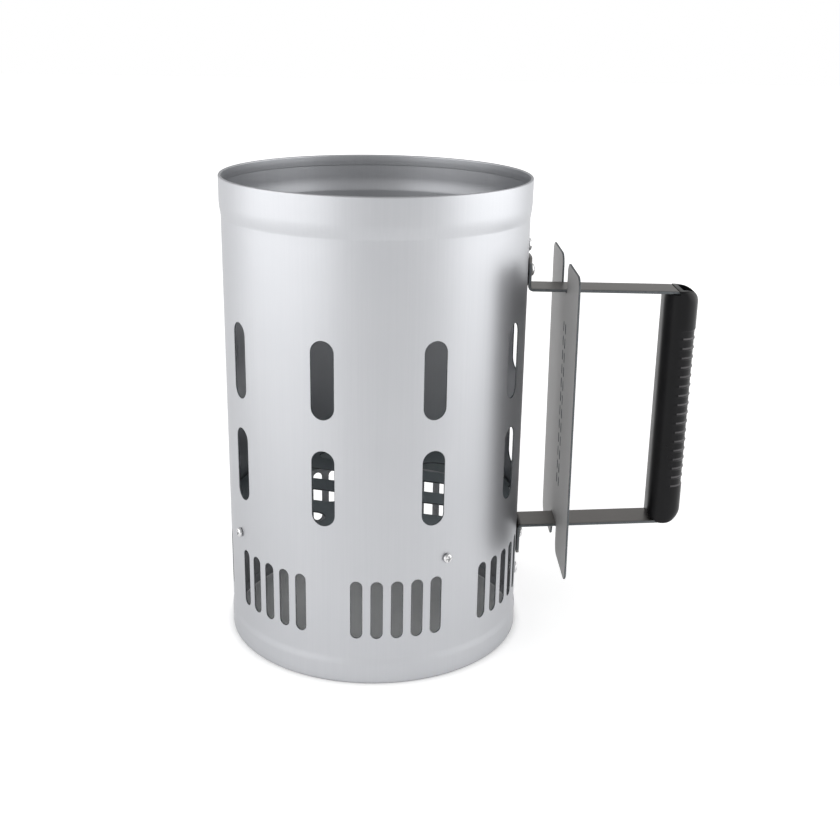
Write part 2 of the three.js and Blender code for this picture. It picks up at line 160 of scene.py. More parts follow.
def round_hole(cx, cy, radius):
    return arc(cx, cy, radius, 0, 345, 23)


def obround(cx, cy, width, height, steps=12):
    """Slot with round ends, along the longer of its two sizes."""
    radius = min(width, height) / 2
    if height > width:
        run = height / 2 - radius
        return arc(cx, cy + run, radius, 0, 180, steps) + arc(cx, cy - run, radius, 180, 360, steps)
    run = width / 2 - radius
    return arc(cx + run, cy, radius, -90, 90, steps) + arc(cx - run, cy, radius, 90, 270, steps)


def with_straights(loop, longest):
    """The loop with its long straight sides divided, so that no side is longer than that."""
    divided = []
    for (ax, ay), (bx, by) in zip(loop, loop[1:] + loop[:1]):
        parts = max(1, math.ceil(math.hypot(bx - ax, by - ay) / longest))
        divided += [(ax + (bx - ax) * i / parts, ay + (by - ay) * i / parts) for i in range(parts)]
    return divided


def offset_directions(loop):
    """Unit directions that point to the right of a loop's way round, one for each point."""
    directions = []
    for before, here, after in zip(loop[-1:] + loop[:-1], loop, loop[1:] + loop[:1]):
        first = Vector((here[0] - before[0], here[1] - before[1])).normalized()
        second = Vector((after[0] - here[0], after[1] - here[1])).normalized()
        along = first + second
        along = along.normalized() if along.length > 1e-6 else first
        directions.append(Vector((along.y, -along.x)))
    return directions


def shifted(loop, directions, distance):
    return [(x + d.x * distance, y + d.y * distance) for (x, y), d in zip(loop, directions)]


def far_from(points, loops, distance):
    """The points that keep that distance from every loop and aren't inside a hole."""
    holes = []
    for loop in loops:
        xs, ys = [p[0] for p in loop], [p[1] for p in loop]
        reach = (min(xs) - distance, max(xs) + distance, min(ys) - distance, max(ys) + distance)
        holes.append((reach, [Vector(p) for p in loop]))

    def clear(x, y):
        return not any(x0 < x < x1 and y0 < y < y1 and near_loop(Vector((x, y)), loop, distance)
                       for (x0, x1, y0, y1), loop in holes)

    return [(x, y) for x, y in points if clear(x, y)]


def near_loop(point, loop, distance):
    """True if the point is inside the loop or within that distance of its sides."""
    inside = False
    for a, b in zip(loop, loop[1:] + loop[:1]):
        side = b - a
        t = max(0.0, min(1.0, (point - a).dot(side) / side.length_squared))
        if (a + side * t - point).length < distance:
            return True
        if (a.y > point.y) != (b.y > point.y):
            if point.x < a.x + (point.y - a.y) / (b.y - a.y) * (b.x - a.x):
                inside = not inside
    return inside


# ---- sheet metal: a flat pattern with holes, bent into place ---------------------------------

EDGE_STEPS = 3


def bent_sheet(outline, holes, inner_points, place, thickness, edge_radius=0.25, coated_rim=False):
    """Vertices, faces and normals of a sheet, and the number of the first face on a cut edge, where the
    darker edge finish starts.

    outline runs anticlockwise and holes too. place(x, y, depth) gives the bent sheet's point for a
    point of the flat pattern, depth being the height above the middle of the sheet. With
    coated_rim, the outline's edge has the sheet's own finish and only the holes' edges get the darker
    edge finish."""
    half = thickness / 2
    loops = [outline] + holes
    outward = [offset_directions(outline)] + [[-d for d in offset_directions(h)] for h in holes]
    face_loops = [shifted(l, d, -edge_radius) for l, d in zip(loops, outward)]

    coords, edges, hole_of = [], [], {}
    for number, loop in enumerate(face_loops):
        start = len(coords)
        coords += loop
        edges += [(start + i, start + (i + 1) % len(loop)) for i in range(len(loop))]
        for i in range(start, len(coords)):
            hole_of[i] = number
    first_inner = len(coords)
    coords += inner_points
    points, _, triangles, originals, _, _ = delaunay_2d_cdt(
        [Vector(c) for c in coords], edges, [], 1, 1e-6)
    source = [ids[0] if ids else first_inner for ids in originals]

    def same_hole(triangle):
        numbers = {hole_of.get(source[i], 0) for i in triangle}
        return len(numbers) == 1 and 0 not in numbers

    flat_faces = [t for t in triangles if not same_hole(t)]
    where = {s: i for i, s in enumerate(source)}

    verts, normals, faces = [], [], []

    def add(x, y, depth, edge=None, tilt=0.0):
        """A vertex whose normal turns from the face's towards the edge's as tilt goes to 90."""
        here = place(x, y, depth)
        up = (place(x, y, half) - place(x, y, -half)).normalized() * (1 if depth > 0 else -1)
        if edge is not None:
            reach = 0.05
            out = (place(x + edge.x * reach, y + edge.y * reach, depth) - here).normalized()
            up = up * math.cos(tilt) + out * math.sin(tilt)
        verts.append(here)
        normals.append(up.normalized())
        return len(verts) - 1

    top = [add(p.x, p.y, half) for p in points]
    bottom = [add(p.x, p.y, -half) for p in points]
    faces += [tuple(top[i] for i in t) for t in flat_faces]
    faces += [tuple(bottom[i] for i in reversed(t)) for t in flat_faces]

    edge_start = len(faces)
    start = 0
    for number, (loop, directions) in enumerate(zip(loops, outward)):
        ids = [where[start + i] for i in range(len(loop))]
        start += len(loop)
        rows = [[top[i] for i in ids]]
        for sign in (1, -1):
            steps = range(1, EDGE_STEPS + 1) if sign > 0 else range(EDGE_STEPS, 0, -1)
            for step in steps:
                tilt = math.pi / 2 * step / EDGE_STEPS
                inset = edge_radius * (1 - math.sin(tilt))
                depth = sign * (half - edge_radius * (1 - math.cos(tilt)))
                rows.append([
                    add(x - d.x * inset, y - d.y * inset, depth, d, tilt)
                    for (x, y), d in zip(loop, directions)])
        rows.append([bottom[i] for i in ids])
        count = len(loop)
        for upper, lower in zip(rows, rows[1:]):
            for i in range(count):
                j = (i + 1) % count
                quad = (upper[i], lower[i], lower[j], upper[j])
                faces.append(quad if number == 0 else tuple(reversed(quad)))
        if number == 0 and coated_rim:
            edge_start = len(faces)
    return verts, faces, normals, edge_start


# ---- pieces ----------------------------------------------------------------------------------

def mesh_object(name, verts, faces):
    """An object in the scene from points in millimetres about the tube's axis."""
    mesh = bpy.data.meshes.new(name)
    mesh.from_pydata([((v[0] + AXIS_X) * MM, v[1] * MM, v[2] * MM) for v in verts], [], faces)
    made = bpy.data.objects.new(name, mesh)
    bpy.context.scene.collection.objects.link(made)
    return made


def new_piece(name, node, slot, material, verts, faces, normals=None,
              edge_start=None, sharp=40, second=None):
    """A mesh piece that stands for one CAD node, or for a part of it.

    Faces from edge_start on get the second finish, which is the darker cut-edge finish unless given.
    Without normals, edges sharper than that many degrees stay sharp."""
    piece = mesh_object(name, verts, faces)
    mesh = piece.data
    mesh.validate()
    mesh.polygons.foreach_set("use_smooth", [True] * len(mesh.polygons))
    if normals:
        mesh.normals_split_custom_set_from_vertices([tuple(n) for n in normals])
    else:
        mesh.set_sharp_from_angle(angle=math.radians(sharp))
    mesh.materials.append(material)
    if edge_start is not None:
        mesh.materials.append(second or DARK_CUT_EDGE)
        for polygon in mesh.polygons[edge_start:]:
            polygon.material_index = 1
    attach(piece, "root")
    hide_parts(node)
    return piece


def turned_surface(profile, segments):
    """Closed surface of a profile of (radius, height) points about Z, from pole to pole."""
    verts, faces = [], []
    rings = []
    for radius, z in profile:
        if radius < 1e-6:
            verts.append(Vector((0, 0, z)))
            rings.append([len(verts) - 1] * segments)
            continue
        ring = []
        for i in range(segments):
            t = 2 * math.pi * i / segments
            verts.append(Vector((radius * math.cos(t), radius * math.sin(t), z)))
            ring.append(len(verts) - 1)
        rings.append(ring)
    for lower, upper in zip(rings, rings[1:]):
        for i in range(segments):
            j = (i + 1) % segments
            corners = dict.fromkeys((lower[i], lower[j], upper[j], upper[i]))
            if len(corners) > 2:
                faces.append(tuple(corners))
    return verts, faces


def lofted(rings, capped=True):
    """Skin over rings with the same number of points, with flat ends or left open."""
    verts = [p for ring in rings for p in ring]
    count = len(rings[0])
    faces = []
    for a in range(0, (len(rings) - 1) * count, count):
        b = a + count
        for i in range(count):
            j = (i + 1) % count
            faces.append((a + i, a + j, b + j, b + i))
    if capped:
        faces.append(tuple(reversed(range(count))))
        faces.append(tuple(range((len(rings) - 1) * count, len(rings) * count)))
    return verts, faces


def radial_place(angle, radius, z):
    """Matrix that stands a Z-axis fastener along the tube's radius at that angle."""
    turn = Matrix.Rotation(math.radians(angle), 4, "Z") @ Matrix.Rotation(math.pi / 2, 4, "Y")
    out = Vector((math.cos(math.radians(angle)), math.sin(math.radians(angle)), 0)) * radius
    return Matrix.Translation(out + Vector((0, 0, z))) @ turn


# ---- fire tube -------------------------------------------------------------------------------

def smooth(t):
    t = max(0.0, min(1.0, t))
    return t * t * (3 - 2 * t)


def wall_radius(z):
    """Outer radius of the tube's wall at that height, bands included."""
    base = 1 - smooth((z - BASE_BLEND[0]) / (BASE_BLEND[1] - BASE_BLEND[0]))
    rise = max(0.0, min(1.0, (z - TOP_BLEND[0]) / (TOP_BLEND[1] - TOP_BLEND[0])))
    top = smooth(rise**0.7)
    return TUBE_RADIUS + (BASE_RADIUS - TUBE_RADIUS) * base + (TOP_RADIUS - TUBE_RADIUS) * top


def sheet_path():
    """Middle line of the sheet as (radius, z): hem, fold, wall, fold, hem, from the foot up."""
    mid = SHEET / 2
    out_low, out_high = BASE_RADIUS - mid, TOP_RADIUS - mid
    low = FOLD_RADIUS + mid
    high = HEIGHT - low
    pressed = 2 * FOLD_RADIUS - SHEET - 0.03
    path = [(out_low - 2 * FOLD_RADIUS + pressed, HEM_HEIGHT)]
    path += [(out_low - 2 * FOLD_RADIUS, z) for z in (HEM_HEIGHT * 0.6, 3)]
    path += arc(out_low - FOLD_RADIUS, low, FOLD_RADIUS, 180, 360, 8)
    heights = [3, 6] + [BASE_BLEND[0] + (BASE_BLEND[1] - BASE_BLEND[0]) * i / 6 for i in range(7)]
    heights += [BASE_BLEND[1] + (TOP_BLEND[0] - BASE_BLEND[1]) * i / 40 for i in range(1, 40)]
    heights += [TOP_BLEND[0] + (TOP_BLEND[1] - TOP_BLEND[0]) * i / 10 for i in range(11)]
    heights += [287, 293]
    path += [(wall_radius(z) - mid, z) for z in heights]
    path += arc(out_high - FOLD_RADIUS, high, FOLD_RADIUS, 0, 180, 8)
    path += [(out_high - 2 * FOLD_RADIUS, HEIGHT - z) for z in (3, HEM_HEIGHT * 0.6)]
    path += [(out_high - 2 * FOLD_RADIUS + pressed, HEIGHT - HEM_HEIGHT)]
    return [Vector(p) for p in path]


PATH = sheet_path()
PATH_LENGTHS = [0.0]
for before, after in zip(PATH, PATH[1:]):
    PATH_LENGTHS.append(PATH_LENGTHS[-1] + (after - before).length)


def path_normal(i):
    before = PATH[max(0, i - 1)]
    after = PATH[min(len(PATH) - 1, i + 1)]
    along = (after - before).normalized()
    return Vector((along.y, -along.x))


PATH_NORMALS = [path_normal(i) for i in range(len(PATH))]


def along_path(u):
    """Point and outward normal of the sheet's middle line, u millimetres from its start."""
    low, high = 0, len(PATH) - 1
    while high - low > 1:
        middle = (low + high) // 2
        if PATH_LENGTHS[middle] <= u:
            low = middle
        else:
            high = middle
    t = (u - PATH_LENGTHS[low]) / (PATH_LENGTHS[high] - PATH_LENGTHS[low])
    normal = PATH_NORMALS[low].lerp(PATH_NORMALS[high], t).normalized()
    return PATH[low].lerp(PATH[high], t), normal


def height_to_u(z):
    """Distance along the sheet at which its wall reaches that height."""
    wall = [i for i, p in enumerate(PATH) if p.x > TUBE_RADIUS - SHEET]
    for a, b in zip(wall, wall[1:]):
        if PATH[a].y <= z <= PATH[b].y:
            t = (z - PATH[a].y) / (PATH[b].y - PATH[a].y)
            return PATH_LENGTHS[a] + t * (PATH_LENGTHS[b] - PATH_LENGTHS[a])
    raise ValueError(z)


def place_on_tube(s, u, depth):
    """s is the arc length round the tube's wall, from angle 0."""
    angle = math.degrees(s / TUBE_RADIUS)
    point, normal = along_path(u)
    hem = 8
    window = smooth((point.y - hem) / hem) * smooth((HEIGHT - hem - point.y) / hem)
    tuck = smooth((angle - JOGGLE[0]) / (JOGGLE[1] - JOGGLE[0])) * (SHEET + LAP_GAP)
    radius = point.x - tuck * window + normal.x * depth
    turn = s / TUBE_RADIUS
    return Vector((radius * math.cos(turn), radius * math.sin(turn), point.y + normal.y * depth))


def fire_tube():
    """Wound once round and lapped under itself, but for the notches at the hems."""
    arc_of = math.radians(1) * TUBE_RADIUS
    s0 = SEAM_OUTER_EDGE * arc_of
    s1 = (360 + SEAM_OUTER_EDGE) * arc_of - JOINT_GAP
    s2 = SEAM_INNER_EDGE * arc_of
    u_end = PATH_LENGTHS[-1]
    notch_low, notch_high = height_to_u(LAP_NOTCHES[0]), height_to_u(HEIGHT - LAP_NOTCHES[1])

    columns = 180
    spacing = (s1 - s0) / columns
    rows = PATH_LENGTHS[1:-1]
    side_rows = [u for u in rows if notch_low + 1 < u < notch_high - 1]
    foot = [(s0 + spacing * i, 0) for i in range(columns)]
    head = [(x, u_end) for x, _ in reversed(foot)]
    outline = foot + [(s1, 0)]
    outline += [(s1, u) for u in rows if u < notch_low - 1] + [(s1, notch_low)]
    outline += [(s2, notch_low)] + [(s2, u) for u in side_rows] + [(s2, notch_high)]
    outline += [(s1, notch_high)] + [(s1, u) for u in rows if u > notch_high + 1]
    outline += [(s1, u_end)] + head + [(s0, u) for u in reversed(rows)]

    holes = []
    for z in DRAFT_SLOT_ROWS:
        u = height_to_u(z)
        holes += [obround(a * arc_of, u, *DRAFT_SLOT, steps=16) for a in DRAFT_SLOT_ANGLES]
    middle = (VENTS_PER_GROUP - 1) / 2
    for group in VENT_GROUP_ANGLES:
        for i in range(VENTS_PER_GROUP):
            angle = group + (i - middle) * VENT_PITCH
            angle = angle if angle < 350 else angle - 360
            holes.append(obround(angle * arc_of, height_to_u(VENT_Z), *VENT_SLOT, steps=10))
    for angle, z in zip(SCREW_ANGLES, SCREW_HEIGHTS):
        holes.append(round_hole(angle * arc_of, height_to_u(z), SCREW_HOLE))
    for z in RIVET_HEIGHTS.values():
        holes += [round_hole(s, height_to_u(z), RIVET_HOLE) for s in (0, 360 * arc_of)]
    holes = [with_straights(h, 4) for h in holes]

    grid = [(s0 + spacing * i, u) for i in range(1, columns) for u in rows]
    lap = 3
    grid += [(s1 + (s2 - s1) * i / lap, u) for i in range(1, lap) for u in side_rows]
    grid += [(s1, u) for u in side_rows]
    inner = far_from(grid, holes, 1.3)
    sheet = bent_sheet(outline, holes, inner, place_on_tube, SHEET, 0.3, coated_rim=True)
    new_piece("tube_sheet", "fire_tube", "galvanised_sheet", GALVANISED, *sheet)


# ---- grate -----------------------------------------------------------------------------------

def place_on_grate(x, y, depth):
    """The flat pattern's disc, its rim turned down around a small bend."""
    bend, mid = GRATE_BEND, GRATE_SHEET / 2
    flat = GRATE_RADIUS - mid - bend
    radius = math.hypot(x, y)
    z_mid = GRATE_TOP - mid
    if radius <= flat:
        r, z, normal = radius, z_mid, (0, 1)
    else:
        over = radius - flat
        turn = min(over / bend, math.pi / 2)
        straight = max(0.0, over - bend * math.pi / 2)
        r = flat + bend * math.sin(turn)
        z = z_mid - bend * (1 - math.cos(turn)) - straight
        normal = (math.sin(turn), math.cos(turn))
    r += normal[0] * depth
    z += normal[1] * depth
    scale = r / radius if radius > 1e-9 else 0
    return Vector((x * scale, y * scale, z))


def grate():
    """Slotted disc whose turned-down rim has a notch at the tube's seam."""
    bend, mid = GRATE_BEND, GRATE_SHEET / 2
    flat = GRATE_RADIUS - mid - bend
    bend_end = flat + bend * math.pi / 2
    rim = bend_end + GRATE_TOP - mid - bend - GRATE_FLANGE_FOOT
    notch = GRATE_NOTCH_ANGLE
    steps = 160
    notch_radius = flat - 1
    down = [rim - (rim - notch_radius) * i / 6 for i in range(1, 6)]
    outline = [polar(rim, notch + (360 - 2 * notch) * i / steps) for i in range(steps + 1)]
    outline += [polar(r, 360 - notch) for r in down]
    outline += [polar(notch_radius, notch * i / 2) for i in range(-2, 3)]
    outline += [polar(r, notch) for r in reversed(down)]

    turn = math.radians(GRATE_TURN)
    holes = []
    for row in range(4):
        v = (row - 1.5) * GRATE_SLOT_PITCH
        far = abs(v) + GRATE_SLOT_WIDTH / 2
        end = math.sqrt(GRATE_RADIUS**2 - far**2) - GRATE_RIM_MARGIN
        start = GRATE_SPINE / 2
        for side in (-1, 1):
            loop = obround(side * (start + end) / 2, v, end - start, GRATE_SLOT_WIDTH, steps=20)
            holes.append([(x * math.cos(turn) - y * math.sin(turn),
                           x * math.sin(turn) + y * math.cos(turn)) for x, y in loop])
    for angle, z in zip(SCREW_ANGLES, SCREW_HEIGHTS):
        distance = bend_end + GRATE_TOP - mid - bend - z
        stretch = distance / GRATE_RADIUS
        across, along = polar(1, angle)
        holes.append([((distance + p) * across - q * stretch * along,
                       (distance + p) * along + q * stretch * across)
                      for p, q in round_hole(0, 0, SCREW_HOLE)])
    holes = [with_straights(h, 5) for h in holes]

    spacing = 6
    grid = [(spacing * i, spacing * j) for i in range(-15, 16) for j in range(-15, 16)
            if math.hypot(i, j) * spacing < flat - 4]
    for r in (flat - 1, flat, flat + 1, flat + 2, bend_end, rim - 9, rim - 4.5):
        for i in range(steps):
            angle = 360 / steps * i
            if notch + 1 < angle < 359 - notch or r < notch_radius - 1:
                grid.append(polar(r, angle))
    inner = far_from(grid, holes, 1.2)
    sheet = bent_sheet(outline, holes, inner, place_on_grate, GRATE_SHEET, 0.2)
    new_piece("grate_plate", "grate", "grate_steel", GRATE_STEEL, *sheet)


# ---- handle strap ----------------------------------------------------------------------------

def strap_centreline():
    """(x, z, heading) stations along the strap, bends included."""
    corners = [(FLANGE_X, FLANGE_ENDS[0]), (FLANGE_X, UPPER_ARM[0]), (STRAP_REACH, UPPER_ARM[1]),
               (STRAP_REACH, LOWER_ARM[1]), (FLANGE_X, LOWER_ARM[0]), (FLANGE_X, FLANGE_ENDS[1])]
    corners = [Vector(c) for c in corners]
    stations = [(corners[0], (corners[1] - corners[0]).normalized())]
    for a, b, c, bend in zip(corners, corners[1:], corners[2:], STRAP_BENDS):
        before, after = (b - a).normalized(), (c - b).normalized()
        turn = math.atan2(before.cross(after), before.dot(after))
        start = b - before * bend * math.tan(abs(turn) / 2)
        side = Vector((-before.y, before.x)) * math.copysign(bend, turn)
        centre = start + side
        for i in range(13):
            rotate = Matrix.Rotation(turn * i / 12, 2)
            stations.append((centre + rotate @ (start - centre), rotate @ before))
    stations.append((corners[-1], (corners[-1] - corners[-2]).normalized()))
    return stations


def curved_to_tube(point):
    """Presses the wall end of the bar to the tube's curve; the arms straighten away from it."""
    sag = TUBE_RADIUS - math.sqrt(TUBE_RADIUS**2 - point.y**2)
    fade = 1 - smooth((point.x - FLANGE_X - STRAP_BENDS[0]) / 30)
    return Vector((point.x - sag * fade, point.y, point.z))


def handle_strap():
    half_w, half_t, edge = STRAP_WIDTH / 2, STRAP_THICKNESS / 2, STRAP_EDGE
    section = []
    columns = 12
    for cx, cy, start in ((half_w - edge, half_t - edge, 0), (edge - half_w, half_t - edge, 90),
                          (edge - half_w, edge - half_t, 180), (half_w - edge, edge - half_t, 270)):
        section += arc(cx, cy, edge, start, start + 90, 4)
        if start in (0, 180):
            run = -2 * cx / columns
            section += [(cx + run * i, cy + math.copysign(edge, cy)) for i in range(1, columns)]

    def ring(point, heading, width_share=1.0):
        """The bar's section at a point, square to its heading."""
        normal = Vector((-heading.y, heading.x))
        offsets = [(point + normal * t, w * width_share) for w, t in section]
        return [Vector((at.x, w, at.y)) for at, w in offsets]

    def rounded_end(point, heading, sign):
        """Rings that widen from the bar's end inwards."""
        made = []
        for i in range(7):
            turn = math.pi / 2 * i / 6
            narrowing = STRAP_END_RADIUS * (1 - math.sin(turn))
            inset = STRAP_END_RADIUS * (1 - math.cos(turn))
            made.append(ring(point + heading * inset * sign, heading, 1 - narrowing / half_w))
        return made

    stations = strap_centreline()
    rings = rounded_end(*stations[0], 1)
    rings += [ring(point, heading) for point, heading in stations[1:-1]]
    rings += reversed(rounded_end(*stations[-1], -1))
    verts, faces = lofted([[curved_to_tube(p) for p in loop] for loop in rings])

    def on_side(face):
        return all(abs(verts[i].y) > half_w - edge / 2 for i in face)

    flats = [f for f in faces if not on_side(f)]
    sides = [f for f in faces if on_side(f)]
    new_piece("handle_bar", "handle_strap", "strap_steel", STRAP_STEEL, verts, flats + sides,
              edge_start=len(flats))


# ---- heat shield -----------------------------------------------------------------------------

def arm_height(arm, x):
    """Height of the middle of an arm of the strap at that distance from the tube's axis."""
    return arm[0] + (arm[1] - arm[0]) * (x - FLANGE_X) / (STRAP_REACH - FLANGE_X)


def place_on_shield(y, z, depth):
    """Leans and turns the upright plate."""
    middle = (SHIELD_FOOT + SHIELD_TOP) / 2
    turn = Matrix.Rotation(-math.radians(SHIELD_YAW), 3, "Z")
    turn @= Matrix.Rotation(-math.radians(SHIELD_LEAN), 3, "Y")
    return turn @ Vector((depth, y, z - middle)) + Vector((SHIELD_X, 0, middle))


def shield_outline(notch, roof, floor):
    """Plate with a notch at its foot and one at its top, all its free corners rounded."""
    half, corner, foot, top = SHIELD_WIDTH / 2, SHIELD_CORNER, SHIELD_FOOT, SHIELD_TOP
    small = SHIELD_NOTCH_CORNER
    outline = arc(-half + corner, foot + corner, corner, 180, 270, 10)
    outline += arc(-notch - corner, foot + corner, corner, 270, 360, 10)
    outline += arc(-notch + small, roof - small, small, 180, 90, 4)
    outline += arc(notch - small, roof - small, small, 90, 0, 4)
    outline += arc(notch + corner, foot + corner, corner, 180, 270, 10)
    outline += arc(half - corner, foot + corner, corner, 270, 360, 10)
    outline += arc(half - corner, top - corner, corner, 0, 90, 10)
    outline += arc(notch + corner, top - corner, corner, 90, 180, 10)
    outline += arc(notch - small, floor + small, small, 0, -90, 4)
    outline += arc(-notch + small, floor + small, small, -90, -180, 4)
    outline += arc(-notch - corner, top - corner, corner, 0, 90, 10)
    outline += arc(-half + corner, top - corner, corner, 90, 180, 10)
    return with_straights(outline, 4)


def weld_bead(arm, side):
    """Rippled fillet between the plate's outer face and the inner side of one arm."""
    half_length, leg_size, ripple, inset = 7, 2.3, 0.25, 0.3
    face = SHIELD_X + SHIELD_THICKNESS / 2
    root = arm_height(arm, SHIELD_X) + side * (STRAP_THICKNESS / 2 + JOINT_GAP)
    rings = []
    steps = 56
    for i in range(steps + 1):
        y = half_length * (2 * i / steps - 1)
        ends = math.sqrt(max(0.0, 1 - (abs(y) / half_length) ** 6))
        leg = (leg_size + ripple * math.sin(y * 4.4)) * max(ends, 0.12)
        curve = [(0.25 + leg * math.cos(t) ** 1.3, leg * math.sin(t) ** 1.3)
                 for t in [math.pi / 2 * k / 8 for k in range(9)]]
        outline = [(-inset, 0)] + curve + [(-inset, leg)]
        rings.append([Vector((face + x, y, root + side * z)) for x, z in outline])
    return lofted(rings)


def heat_shield():
    notch = STRAP_WIDTH / 2 + 0.6
    clearance = STRAP_THICKNESS / 2 + 0.45
    roof = arm_height(LOWER_ARM, SHIELD_X) + clearance
    floor = arm_height(UPPER_ARM, SHIELD_X) - clearance
    outline = shield_outline(notch, roof, floor)
    holes = []
    for y in SHIELD_SLOT_COLUMNS:
        for i in range(SHIELD_SLOT_ROWS):
            z = SHIELD_SLOT_MIDDLE + (i - (SHIELD_SLOT_ROWS - 1) / 2) * SHIELD_SLOT_PITCH
            holes.append(with_straights(obround(y, z, *SHIELD_SLOT, steps=8), 2))
    spacing = 6
    grid = [(spacing * i, SHIELD_FOOT + SHIELD_CORNER + spacing * j)
            for i in range(-9, 10) for j in range(31)]
    grid = [p for p in grid if abs(p[0]) > notch + 2 or roof + 2 < p[1] < floor - 2]
    inner = far_from(grid, holes, 1.0)
    sheet = bent_sheet(outline, holes, inner, place_on_shield, SHIELD_THICKNESS, 0.3)
    new_piece("shield_plate", "heat_shield", "shield_steel", SHIELD_STEEL, *sheet)
    for name, arm, side in (("shield_weld_upper", UPPER_ARM, -1), ("shield_weld_lower", LOWER_ARM, 1)):
        new_piece(name, "heat_shield", "shield_steel", GRATE_STEEL, *weld_bead(arm, side))


# ---- grip ------------------------------------------------------------------------------------

def beside_rib(z):
    """0 on a rib's crest and above and below the ribs, 1 between two ribs."""
    place = (z - RIB_FIRST_Z) / RIB_PITCH
    if not 0 < place < RIB_COUNT:
        return 0.0
    away = abs(place - round(place)) * RIB_PITCH / (RIB_THICKNESS / 2)
    return math.sin(math.pi / 2 * min(away, 1.0)) ** 2


def drawn_back(radius, away):
    """How far a rounding has drawn back at that distance from the end it starts at."""
    if away >= radius:
        return 0.0
    return radius - math.sqrt(radius**2 - (radius - away) ** 2)


def grip_section(z, steps=10):
    """Rounded section at that height, its outer half ribbed."""
    from_foot, from_top = z - GRIP_FOOT, GRIP_TOP - z
    shrink = drawn_back(GRIP_END_EDGE, min(from_foot, from_top))
    half = GRIP_WIDTH / 2 - shrink
    inner = GRIP_INNER + drawn_back(GRIP_INNER_FOOT, from_foot) + shrink
    outer = GRIP_OUTER - drawn_back(GRIP_OUTER_FOOT, from_foot) - drawn_back(GRIP_OUTER_TOP, from_top)
    depth_share = (outer - inner) / (GRIP_OUTER - GRIP_INNER)
    round_in, round_out = GRIP_INNER_ROUNDING * depth_share, GRIP_OUTER_ROUNDING * depth_share
    points = arc(outer - round_out, half - round_out, round_out, 0, 90, 2 * steps)
    points += arc(inner + round_in, half - round_in, round_in, 90, 180, steps)
    points += arc(inner + round_in, round_in - half, round_in, 180, 270, steps)
    points += arc(outer - round_out, round_out - half, round_out, 270, 360, 2 * steps)
    groove = beside_rib(z) * RIB_HEIGHT
    centre = Vector((outer - round_out, 0))
    made = []
    for x, y in points:
        pull = groove * smooth((x - GRIP_OUTER + 12.5) / 4)
        out = (Vector((x, y)) - centre).normalized()
        made.append(Vector((x - out.x * pull, y - out.y * pull, z)))
    return made


def cut_away(piece, cutters):
    """Cuts the cutters out of the piece and removes them."""
    for cutter in cutters:
        modifier = piece.modifiers.new("cut", "BOOLEAN")
        modifier.object = cutter
        modifier.solver = "EXACT"
        evaluated = piece.evaluated_get(bpy.context.evaluated_depsgraph_get())
        mesh = bpy.data.meshes.new_from_object(evaluated)
        piece.modifiers.clear()
        piece.data = mesh
        bpy.data.objects.remove(cutter)
    piece.data.polygons.foreach_set("use_smooth", [True] * len(piece.data.polygons))
    piece.data.set_sharp_from_angle(angle=math.radians(35))


def box_shape(x0, x1, y0, y1, z0, z1):
    corners = ((x0, y0), (x1, y0), (x1, y1), (x0, y1))
    return lofted([[Vector((x, y, z)) for x, y in corners] for z in (z0, z1)])


def strap_tunnel():
    """The strap's room inside the grip, with clearance."""
    half_w, half_t = STRAP_WIDTH / 2 + JOINT_GAP, STRAP_THICKNESS / 2 + JOINT_GAP
    rings = []
    for point, heading in strap_centreline()[12:-12]:
        normal = Vector((-heading.y, heading.x))
        ring = []
        for w, t in ((half_w, half_t), (-half_w, half_t), (-half_w, -half_t), (half_w, -half_t)):
            offset = point + normal * t
            ring.append(Vector((offset.x, w, offset.y)))
        rings.append(ring)
    return lofted(rings)


def grip_heights():
    """Heights of the grip's rings, closer together at its ends and along the ribs."""
    turns = [math.pi / 2 * i / 12 for i in range(13)]
    heights = [GRIP_FOOT + GRIP_OUTER_FOOT * (1 - math.cos(t)) for t in turns]
    plain = 3
    z = heights[-1] + 2
    while z < RIB_FIRST_Z:
        heights.append(z)
        z += plain
    rib_steps = 18
    heights += [RIB_FIRST_Z + RIB_PITCH * i / rib_steps for i in range(RIB_COUNT * rib_steps + 1)]
    z = RIB_FIRST_Z + RIB_COUNT * RIB_PITCH + plain
    while z < GRIP_TOP - GRIP_OUTER_TOP - 1:
        heights.append(z)
        z += plain
    return heights + [GRIP_TOP - GRIP_OUTER_TOP * (1 - math.cos(t)) for t in reversed(turns)]


def grip_pocket():
    """The opening in the grip's top, rounded towards its outer face."""
    corner, half = POCKET["corner"], POCKET["half_width"]
    arc_x, arc_y = POCKET["outer"] - corner, half - corner
    outline = arc(arc_x, arc_y, corner, 0, 90, 8)
    outline += [(POCKET["inner"], half), (POCKET["inner"], -half)]
    outline += arc(arc_x, -arc_y, corner, 270, 360, 8)
    return lofted([[Vector((x, y, z)) for x, y in outline]
                   for z in (GRIP_TOP - POCKET["depth"], GRIP_TOP + 5)])


